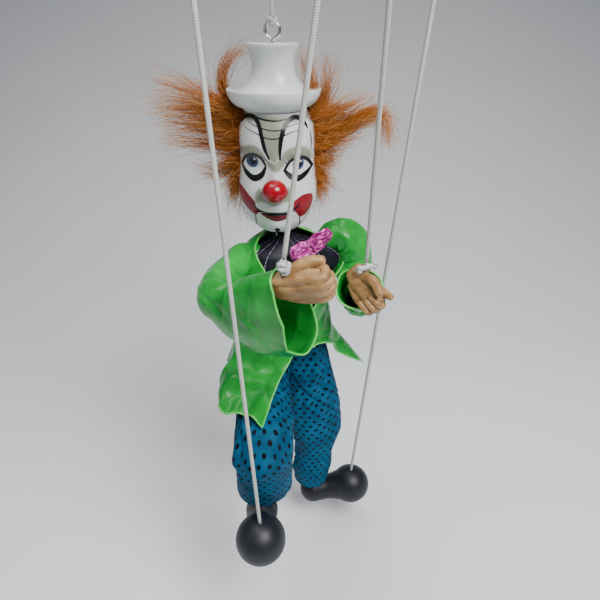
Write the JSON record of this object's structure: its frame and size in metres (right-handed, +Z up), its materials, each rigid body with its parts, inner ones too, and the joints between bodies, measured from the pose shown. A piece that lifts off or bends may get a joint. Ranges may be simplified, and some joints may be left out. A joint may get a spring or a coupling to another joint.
{
  "type": "clown marionette",
  "caption": "Jointed clown string puppet hung from a wooden hand control, with a moving jaw, dressed limbs and strings to its head, hands and feet.",
  "frame": {"origin": "on the top face of the control's main bar, straight above the head string", "axes": "+Z up along the head string, -Y the way the puppet's face looks, +X to the puppet's left"},
  "size_m": [0.1725, 0.1698, 0.4944],
  "materials": {
    "control_wood": "bare softwood",
    "screw_steel": "bright steel",
    "bright_wire": "bright wire",
    "white_cord": "braided white cord",
    "hat_gloss": "white gloss paint on wood",
    "face_paint": "white gloss paint on wood",
    "elastic": "round elastic",
    "orange_fur": "long orange fur",
    "limb_wood": "plain dowel",
    "hand_wood": "carved, thinly stained",
    "black_cotton": "black with pale stitching",
    "pink_satin": "crumpled shiny cloth",
    "green_satin": "satin",
    "blue_cotton": "spotted cotton",
    "black_paint": "black paint on wood",
    "leather": "soft thong"
  },
  "bodies": {
    "control_and_trunk": {"control_main_bar": "control_wood", "control_leg_bar": "control_wood", "control_hand_bar": "control_wood", "control_leg_screw": "screw_steel", "control_hand_screw": "screw_steel", "control_head_eye": "bright_wire", "head_string": "white_cord", "chest_neck_eye": "bright_wire", "chest_block": "limb_wood", "waist_dowel": "limb_wood", "hip_block": "limb_wood", "shirt": "black_cotton", "bow_tie": "pink_satin", "jacket": "green_satin", "trouser_seat": "blue_cotton"},
    "head": {"hat": "hat_gloss", "hat_eye": "bright_wire", "head": "face_paint", "jaw_pin": "bright_wire", "jaw_elastic": "elastic", "hair_right": "orange_fur", "hair_left": "orange_fur", "hair_back": "orange_fur", "head_neck_eye": "bright_wire"},
    "jaw": {"jaw": "face_paint"},
    "upper_arm_right": {"upper_arm_right": "limb_wood", "shoulder_thong_right": "leather", "sleeve_right": "green_satin"},
    "forearm_right": {"forearm_right": "limb_wood", "elbow_thong_right": "leather", "hand_right": "hand_wood", "hand_eye_right": "bright_wire"},
    "hand_string_right": {"hand_string_right": "white_cord"},
    "thigh_right": {"thigh_right": "limb_wood", "hip_thong_right": "leather", "trouser_leg_right": "blue_cotton"},
    "shin_right": {"shin_right": "limb_wood", "knee_thong_right": "leather"},
    "shoe_right": {"shoe_right": "black_paint", "ankle_thong_right": "leather"},
    "foot_string_right": {"foot_string_right": "white_cord"},
    "upper_arm_left": {"upper_arm_left": "limb_wood", "shoulder_thong_left": "leather", "sleeve_left": "green_satin"},
    "forearm_left": {"forearm_left": "limb_wood", "elbow_thong_left": "leather", "hand_left": "hand_wood", "hand_eye_left": "bright_wire"},
    "hand_string_left": {"hand_string_left": "white_cord"},
    "thigh_left": {"thigh_left": "limb_wood", "hip_thong_left": "leather", "trouser_leg_left": "blue_cotton"},
    "shin_left": {"shin_left": "limb_wood", "knee_thong_left": "leather"},
    "shoe_left": {"shoe_left": "black_paint", "ankle_thong_left": "leather"},
    "foot_string_left": {"foot_string_left": "white_cord"}
  },
  "joints": [
    {"name": "head_turn", "type": "hinge", "parent": "control_and_trunk", "child": "head", "pos_m": [0, 0, -0.092], "axis": [0, 0, 1], "range_deg": [-30, 30], "deforming": ["head_string"]},
    {"name": "jaw_open", "type": "hinge", "parent": "head", "child": "jaw", "pos_m": [0.0015, -0.005, -0.1905], "axis": [1, 0, 0], "range_deg": [0, 14], "stiffness_Nm_per_rad": 0.004, "springref_deg": -20.05, "deforming": ["jaw_elastic"]},
    {"name": "shoulder_right", "type": "hinge", "parent": "control_and_trunk", "child": "upper_arm_right", "pos_m": [-0.03265, -0.01234, -0.223], "axis": [-0.6358, -0.5668, 0.5239], "range_deg": [0, 34.5], "deforming": ["sleeve_right", "shoulder_thong_right", "elbow_thong_right", "hand_string_right", "jacket"]},
    {"name": "elbow_right", "type": "hinge", "parent": "upper_arm_right", "child": "forearm_right", "pos_m": [-0.03567, -0.06678, -0.23022], "axis": [-0.7417, -0.136, 0.6568], "range_deg": [-33, 0]},
    {"name": "hand_string_right_slide", "type": "slide", "parent": "control_and_trunk", "child": "hand_string_right", "axis": [0.13, -0.094, 0.9871], "range_m": [0, 0.0305]},
    {"name": "shoulder_left", "type": "hinge", "parent": "control_and_trunk", "child": "upper_arm_left", "pos_m": [0.04065, 0.01434, -0.223], "axis": [-0.7492, 0.3731, -0.5472], "range_deg": [0, 62.2], "deforming": ["sleeve_left", "shoulder_thong_left", "elbow_thong_left", "hand_string_left", "jacket"]},
    {"name": "elbow_left", "type": "hinge", "parent": "upper_arm_left", "child": "forearm_left", "pos_m": [0.06111, 0.00569, -0.27331], "axis": [-0.31, -0.6499, -0.6939], "range_deg": [-24.5, 0]},
    {"name": "hand_string_left_slide", "type": "slide", "parent": "control_and_trunk", "child": "hand_string_left", "axis": [-0.0362, -0.3339, 0.9419], "range_m": [0, 0.0305]},
    {"name": "hip_right", "type": "hinge", "parent": "control_and_trunk", "child": "thigh_right", "pos_m": [-0.01291, -0.00516, -0.322], "axis": [-0.9989, 0, -0.046], "range_deg": [0, 30], "deforming": ["trouser_leg_right", "hip_thong_right", "knee_thong_right", "ankle_thong_right", "foot_string_right", "trouser_seat", "jacket"]},
    {"name": "knee_right", "type": "hinge", "parent": "thigh_right", "child": "shin_right", "pos_m": [-0.01308, -0.07739, -0.33253], "axis": [-0.9989, 0, -0.046], "range_deg": [-28.5, 0]},
    {"name": "ankle_right", "type": "hinge", "parent": "shin_right", "child": "shoe_right", "pos_m": [-0.01416, -0.05742, -0.39961], "axis": [-0.9989, 0, -0.046], "range_deg": [-2, 0]},
    {"name": "foot_string_right_slide", "type": "slide", "parent": "control_and_trunk", "child": "foot_string_right", "axis": [-0.0464, 0.0087, 0.9989], "range_m": [0, 0.0378]},
    {"name": "hip_left", "type": "hinge", "parent": "control_and_trunk", "child": "thigh_left", "pos_m": [0.02091, 0.00716, -0.322], "axis": [-0.8568, -0.4635, 0.2259], "range_deg": [0, 18], "deforming": ["trouser_leg_left", "hip_thong_left", "knee_thong_left", "ankle_thong_left", "foot_string_left", "trouser_seat", "jacket"]},
    {"name": "knee_left", "type": "hinge", "parent": "thigh_left", "child": "shin_left", "pos_m": [0.03044, 0.01038, -0.3943], "axis": [-0.8568, -0.4635, 0.2259], "range_deg": [-23.5, 0]},
    {"name": "ankle_left", "type": "hinge", "parent": "shin_left", "child": "shoe_left", "pos_m": [0.02591, 0.01281, -0.46411], "axis": [-0.3512, -0.8464, 0.4003], "range_deg": [0, 34.5]},
    {"name": "foot_string_left_slide", "type": "slide", "parent": "control_and_trunk", "child": "foot_string_left", "axis": [0.0408, -0.15, 0.9878], "range_m": [0, 0.0215]}
  ],
  "couplings": [
    {"joint": "elbow_right", "follows": "shoulder_right", "ratio": -0.953},
    {"joint": "hand_string_right_slide", "follows": "shoulder_right", "m_per_rad": 0.04982},
    {"joint": "elbow_left", "follows": "shoulder_left", "ratio": -0.393},
    {"joint": "hand_string_left_slide", "follows": "shoulder_left", "m_per_rad": 0.02763},
    {"joint": "knee_right", "follows": "hip_right", "ratio": -0.94},
    {"joint": "ankle_right", "follows": "hip_right", "ratio": -0.055},
    {"joint": "foot_string_right_slide", "follows": "hip_right", "m_per_rad": 0.07124},
    {"joint": "knee_left", "follows": "hip_left", "ratio": -1.294},
    {"joint": "ankle_left", "follows": "hip_left", "ratio": 1.89},
    {"joint": "foot_string_left_slide", "follows": "hip_left", "m_per_rad": 0.06685}
  ]
}
